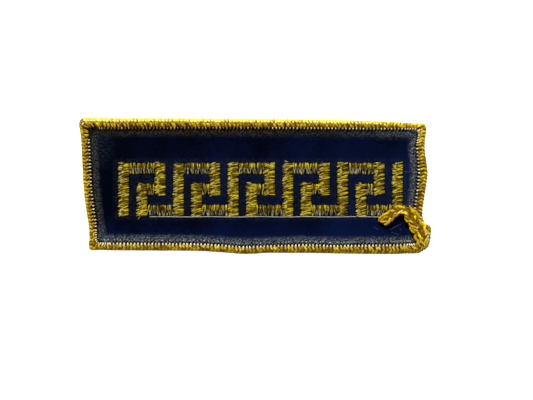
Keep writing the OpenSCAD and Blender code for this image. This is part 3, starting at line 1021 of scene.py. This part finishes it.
rim_path = [(*wrapped_rim(p), 0) for p in edge_spots]
ridge_path = [(*needle_line(p), 0) for p in edge_spots]
dim_top = [top and DIM_FROM < p.x < DIM_TO for top, p in zip(on_top, edge_spots)]
clear_top = [top and p.x >= DIM_TO for top, p in zip(on_top, edge_spots)]
left_dots = [left and p.y < LEFT_DOTS_TO for left, p in zip(on_left, edge_spots)]
right_dots = [upper or lower for upper, lower in zip(upper_right, lower_right)]
needle_parts = []
for number, (stretch, path, stitch, material, radius) in enumerate((
    (dim_top, ridge_path, foot_loop, olive_needle, 0.15),
    (clear_top, ridge_path, needle_loop, tan_needle, 0.15),
    (lemon_top, rim_path, between_wraps, bright_needle, 0.17),
    (left_dots, ridge_path, needle_loop, cream_needle, 0.155),
    (right_dots, ridge_path, needle_loop, cream_needle, 0.17),
    (on_foot, ridge_path, foot_loop, bright_needle, 0.18),
    (left_dots, ridge_path, lock_stitch, veiled_thread, 0.08),
    (right_dots, ridge_path, lock_stitch, veiled_thread, 0.1),
    (right_dots, ridge_path, short_leg, veiled_thread, LEG_RADIUS),
    (on_foot, ridge_path, lock_stitch, foot_needle, 0.16),
    (on_foot, ridge_path, short_leg, foot_needle, LEG_RADIUS),
)):
    needle_parts.append(run_stitches(
        path_of([picked(path, stretch)], picked(rim_ways, stretch)), stitch, material, each_point=True,
        radius=radius, turn=0.16, reach=0.12, slide=0.07, lift=0.02, wander=0.1, seed=801 + number,
    ))

# Lays one long thread along a path, with a slow wander.
laid_thread, given = group_tree("laid_thread", [
    ("Path", "Geometry", None),
    ("Step", "Float", 0.5),
    ("Radius", "Float", 0.1),
    ("Wander", "Float", 0.1),
    ("Seed", "Int", 0),
    ("Material", "Material", None),
], "Threads")
tree = laid_thread
path = made(tree, "GeometryNodeMeshToCurve", {0: given["Path"]})
spun_end(tree, given, made(tree, "GeometryNodeResampleCurve", {
    "Curve": path,
    "Length": given["Step"],
}, mode="LENGTH"))


def lay_threads(lines, material, closed=False, **sizes):
    """Lays threads along lines of (x, y, z, fat) in mm."""
    path = with_shares(bare_lines(lines, closed), "fat", [p[3] for line in lines for p in line])
    return sew(laid_thread, path, material=material, **sizes)


needle_knots = [
    [(-50.2, 17.6, 2.2, 0.7), (-50.0, 17.9, 2.6, 1.2), (-49.8, 18.2, 2.6, 1.2), (-49.6, 18.4, 2.2, 0.7)],
    [(47.4, 17.1, 2.1, 0.7), (47.7, 17.3, 2.5, 1.1), (48.0, 17.4, 2.5, 1.1), (48.3, 17.4, 2.1, 0.7)],
    [(47.5, 15.7, 2.1, 0.7), (47.8, 16.0, 2.5, 1.3), (48.0, 16.3, 2.5, 1.3), (48.2, 16.6, 2.1, 0.7)],
]
needle_parts.append(lay_threads(needle_knots, cream_needle, radius=0.19, wander=0.05, seed=890, step=0.12))
needle_threads = one_piece("border_needle_threads", needle_parts)
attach(needle_threads, "root")

# The tail: the overlock chain that ran on when the border was closed, left
# uncut. It is a braid of the same golden thread with a knot of the needle thread
# at each loop, lies over the corner and turns back over the last column.
tail_route = [
    (49.4, -18.0, 2.75, 0.50),
    (49.3, -17.0, 3.15, 0.85),
    (49.1, -15.8, 3.50, 1.10),
    (48.8, -14.3, 3.70, 1.30),
    (48.1, -12.6, 3.80, 1.60),
    (46.6, -10.7, 3.80, 1.20),
    (45.2, -8.7, 3.85, 1.20),
    (44.0, -7.3, 3.85, 1.05),
    (42.4, -6.9, 3.75, 1.15),
    (40.6, -7.8, 3.60, 1.15),
    (38.7, -9.2, 3.40, 1.05),
    (37.2, -9.9, 3.10, 0.60),
]
TAIL_PITCH = 1.3
TAIL_THREAD = 0.36
TAIL_BRAID = slice(9, -7)

tail_line = smooth_line(tail_route, 6)
tail_ways = []
for i in range(len(tail_line)):
    before, after = tail_line[max(i - 1, 0)], tail_line[min(i + 1, len(tail_line) - 1)]
    ahead = Vector((after[0] - before[0], after[1] - before[1], 0)).normalized()
    tail_ways.append((ahead.y, -ahead.x, 0))
tail_widths = [p[3] for p in tail_line]
tail_points = [p[:3] for p in tail_line]

right_strand = [
    (-0.05, -1.5, 0.25, 0.6), (0.3, -0.95, 0.6, 1), (0.72, -0.2, 0.6, 1.15), (0.98, 0.6, 0.3, 1.1),
    (0.9, 1.3, -0.1, 0.9), (0.5, 1.7, -0.25, 0.6),
]
left_strand = [(-x, y + 0.72, z, fat) for x, y, z, fat in right_strand]
right_under = [(0.15, -1.2, -0.2, 0.7), (0.6, -0.6, -0.5, 1), (0.85, 0.1, -0.35, 1), (0.6, 0.8, 0.0, 0.8)]
left_under = [(-x, y + 0.72, z, fat) for x, y, z, fat in right_under]

tail_thread = thread_finish(
    "tail_thread", (0.09, 0.035, 0.0), (0.5, 0.28, 0.003), (1.0, 0.74, 0.015), 0.38, 0.45
)
knot_thread = thread_finish("knot_thread", (0.32, 0.23, 0.1), (0.7, 0.56, 0.34), (0.95, 0.85, 0.64))
# The heart of the braid is painted dark brown, as painted shade between its strands.
tail_heart = thread_finish("tail_heart", (0.03, 0.01, 0.0), (0.14, 0.065, 0.001), (0.4, 0.22, 0.005), 0.6)
tail_parts = [lay_threads(
    [[(*p[:3], 0.9 * p[3]) for p in tail_line]], tail_heart, radius=1.0, wander=0.15, seed=900, step=0.7
)]
# The under strands take the shaded umber copy of the golden thread, as painted shade under the braid.
for number, (strand, material) in enumerate((
    (right_strand, tail_thread),
    (left_strand, tail_thread),
    (right_under, umber_wrap),
    (left_under, umber_wrap),
)):
    braid = path_of([tail_points[TAIL_BRAID]], tail_ways[TAIL_BRAID], tail_widths[TAIL_BRAID])
    tail_parts.append(run_stitches(
        braid, strand, material, pitch=TAIL_PITCH, radius=TAIL_THREAD, turn=0.16, reach=0.1, slide=0.16,
        lift=0.1, wander=0.35, seed=910 + number,
    ))
end_loops = [
    [
        (40.2, -7.1, 3.4, 0.3), (38.7, -7.8, 3.9, 1), (37.3, -8.6, 3.9, 1.1), (36.3, -9.4, 3.6, 1),
        (36.1, -10.2, 3.1, 0.5),
    ],
    [(39.8, -9.9, 3.0, 0.3), (38.3, -10.2, 3.5, 1), (37.2, -10.4, 3.5, 1.1), (36.3, -10.1, 3.1, 0.5)],
    [(39.6, -8.4, 3.5, 0.3), (38.3, -8.8, 4.0, 1), (37.4, -9.4, 3.9, 1.1), (36.6, -10.1, 3.4, 0.5)],
]
bend_loops = [
    [(44.9, -5.6, 3.4, 0.3), (45.5, -6.7, 4.3, 1), (46.2, -8.0, 4.5, 1), (46.8, -9.5, 4.0, 0.4)],
    [(45.8, -6.4, 3.4, 0.3), (46.8, -7.6, 4.0, 1), (47.5, -8.9, 4.1, 1), (47.1, -10.2, 3.9, 0.4)],
    [(43.7, -8.2, 3.3, 0.3), (43.9, -9.7, 3.9, 1), (44.6, -10.4, 3.9, 1), (45.6, -10.3, 3.7, 0.4)],
    [(45.4, -10.7, 3.3, 0.3), (45.3, -12.4, 3.8, 1), (46.2, -13.4, 3.9, 1), (47.6, -13.6, 3.7, 0.4)],
    [(47.3, -10.0, 3.8, 0.3), (48.3, -11.1, 4.3, 1), (49.4, -11.5, 4.1, 1), (50.4, -11.3, 3.3, 0.4)],
]
corner_loops = [
    [(49.1, -11.3, 3.1, 0.3), (50.3, -11.5, 3.4, 1), (51.0, -12.5, 3.1, 1.05), (51.2, -13.9, 2.2, 0.5)],
    [(48.7, -15.1, 3.8, 0.3), (49.6, -14.2, 4.4, 1), (50.4, -13.8, 4.1, 1), (51.0, -13.7, 3.0, 0.5)],
    [(48.6, -17.2, 3.3, 0.3), (49.5, -16.2, 4.0, 1), (50.2, -15.8, 3.7, 1), (50.8, -15.7, 2.6, 0.5)],
    [(48.4, -18.6, 2.4, 0.3), (49.1, -17.6, 3.1, 1), (49.8, -17.2, 2.9, 1), (50.4, -17.0, 2.1, 0.5)],
    [(47.6, -13.4, 3.4, 0.3), (46.7, -14.3, 3.3, 1), (46.9, -15.5, 3.2, 1), (48.2, -16.1, 3.2, 0.5)],
    [(48.5, -15.2, 3.3, 0.3), (47.5, -16.1, 3.1, 1), (47.9, -17.2, 2.9, 1), (49.0, -17.8, 2.7, 0.5)],
]
chain_knots = [
    [(x - 0.2, y - 0.15, z - 0.25, 0.7), (x, y, z, 1.2), (x + 0.2, y + 0.15, z - 0.2, 0.7)]
    for x, y, z in (
        (38.6, -10.5, 3.95), (40.7, -8.0, 4.65), (42.7, -7.2, 4.8), (44.1, -8.0, 4.95),
        (45.2, -10.1, 4.75), (47.1, -12.1, 5.05), (49.4, -13.4, 4.7), (50.2, -14.7, 4.4),
        (48.2, -16.2, 4.1), (49.3, -17.0, 4.0),
    )
]
for lines, material, radius in (
    (end_loops, tail_thread, 0.38),
    (bend_loops, tail_thread, 0.4),
    (corner_loops, tail_thread, 0.42),
    (chain_knots, knot_thread, 0.24),
):
    lines = [smooth_line(line, 3) for line in lines]
    tail_parts.append(lay_threads(lines, material, radius=radius, wander=0.1, seed=930, step=0.25))
tail_chain = one_piece("tail_chain", tail_parts)
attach(tail_chain, "root")
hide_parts("border_tail")

# The loose ends: one long float of white bobbin thread under the pattern, caught
# at the foot of each column, a small tied end, and a few stray filaments.
FLOAT_FROM, FLOAT_TO, FLOAT_Y = -30.5, 37.2, -8.98
FLOAT_POINTS = 24

white_bobbin = thread_finish("white_bobbin", (0.3, 0.29, 0.26), (0.5, 0.49, 0.46), (0.7, 0.69, 0.66))
stray_filament = thread_finish(
    "stray_filament", (0.02, 0.03, 0.05), (0.055, 0.075, 0.12), (0.14, 0.17, 0.24)
)
float_line = []
for k in range(FLOAT_POINTS):
    at_x = FLOAT_FROM + k * (FLOAT_TO - FLOAT_FROM) / (FLOAT_POINTS - 1)
    float_line.append((at_x, FLOAT_Y + 0.05 * math.sin(k * 1.3), 2.08 + 0.04 * math.sin(k * 2.1), 1.0))
strays = [
    [(39.4, -12.7), (41.0, -12.0), (43.0, -10.9)],
    [(40.4, -12.35), (41.1, -11.8), (41.9, -11.3)],
    [(39.9, -13.4), (40.8, -13.85), (42.0, -14.1)],
    [(34.8, -11.9), (35.4, -12.4), (36.1, -12.6)],
    [(42.3, -12.3), (42.7, -12.6), (42.9, -13.1)],
    [(43.6, 4.2), (44.8, 4.05), (46.2, 4.1)],
    [(-47.3, 14.2), (-46.2, 14.6), (-45.2, 14.3)],
]
stray_lines = [
    [(px, py, film_high + cockle(px, py) + 0.05, 1.0) for px, py in smooth_line(line, 3)] for line in strays
]
tied_end = smooth_line([
    (13.6, -6.0, 2.3, 0.7), (14.0, -6.3, 2.55, 1), (14.5, -6.6, 2.5, 1), (14.3, -7.0, 2.4, 1),
    (13.8, -6.7, 2.6, 1), (14.1, -6.2, 2.55, 0.8), (14.6, -6.1, 2.35, 0.5),
], 3)
loose_ends = one_piece("loose_ends", [
    lay_threads([float_line], white_bobbin, radius=0.1, wander=0.06, seed=950, step=1.0),
    lay_threads(stray_lines, stray_filament, radius=0.05, wander=0.1, seed=951, step=0.4),
    lay_threads([tied_end], gold_rayon, radius=0.2, wander=0.05, seed=952, step=0.25),
])
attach(loose_ends, "root")

# The table is plain white, lit from behind the patch by one broad lamp with soft
# fill all round. The camera looks straight down, framed as in the photograph.
PHOTO_SCALE = 0.2916
PHOTO_WIDE, PHOTO_HIGH = 533, 400
PATCH_X, PATCH_Y = 254.5, 186
CAMERA_HEIGHT = 0.4
PATCH_LEVEL = 0.0015
SENSOR = 36

table_white, tree, shader = finish("table_white", {
    "Base Color": (0.9, 0.9, 0.9, 1),
    "Roughness": 0.8,
    "Emission Color": (1, 1, 1, 1),
    "Emission Strength": 0.9,
})
table = plain_piece("table", [
    (-900, -900, -0.05), (900, -900, -0.05), (900, 900, -0.05), (-900, 900, -0.05)
], [(0, 1, 2, 3)], table_white)


def lamp(name, at, size, power, colour):
    """A square soft lamp that points at the patch."""
    light = bpy.data.lights.new(name, "AREA")
    light.size = size
    light.energy = power
    light.color = colour
    item = bpy.data.objects.new(name, light)
    item.location = at
    item.rotation_euler = (-Vector(at)).to_track_quat("-Z", "Y").to_euler()
    bpy.context.collection.objects.link(item)


lamp("key_lamp", (-0.05, 0.45, 0.55), 0.16, 6.4, (1, 0.98, 0.94))
lamp("left_fill", (-0.6, -0.1, 0.3), 0.5, 0.6, (0.95, 0.97, 1))
lamp("right_fill", (0.6, -0.1, 0.3), 0.5, 0.5, (0.95, 0.97, 1))
lamp("front_fill", (0.0, -0.6, 0.3), 0.5, 0.4, (0.95, 0.97, 1))

world = bpy.data.worlds.new("room")
world.use_nodes = True
world.node_tree.nodes["Background"].inputs["Color"].default_value = (0.9, 0.95, 1, 1)
world.node_tree.nodes["Background"].inputs["Strength"].default_value = 0.04
bpy.context.scene.world = world
bpy.context.scene.view_settings.view_transform = "Standard"

camera = bpy.data.cameras.new("camera")
camera.sensor_width = SENSOR
camera.lens = SENSOR * (CAMERA_HEIGHT - PATCH_LEVEL) / (PHOTO_WIDE * PHOTO_SCALE * MM)
view = bpy.data.objects.new("camera", camera)
aim_x = (PHOTO_WIDE / 2 - PATCH_X) * PHOTO_SCALE * MM
aim_y = (PATCH_Y - PHOTO_HIGH / 2) * PHOTO_SCALE * MM
view.location = (aim_x, aim_y, CAMERA_HEIGHT)
bpy.context.collection.objects.link(view)
bpy.context.scene.camera = view
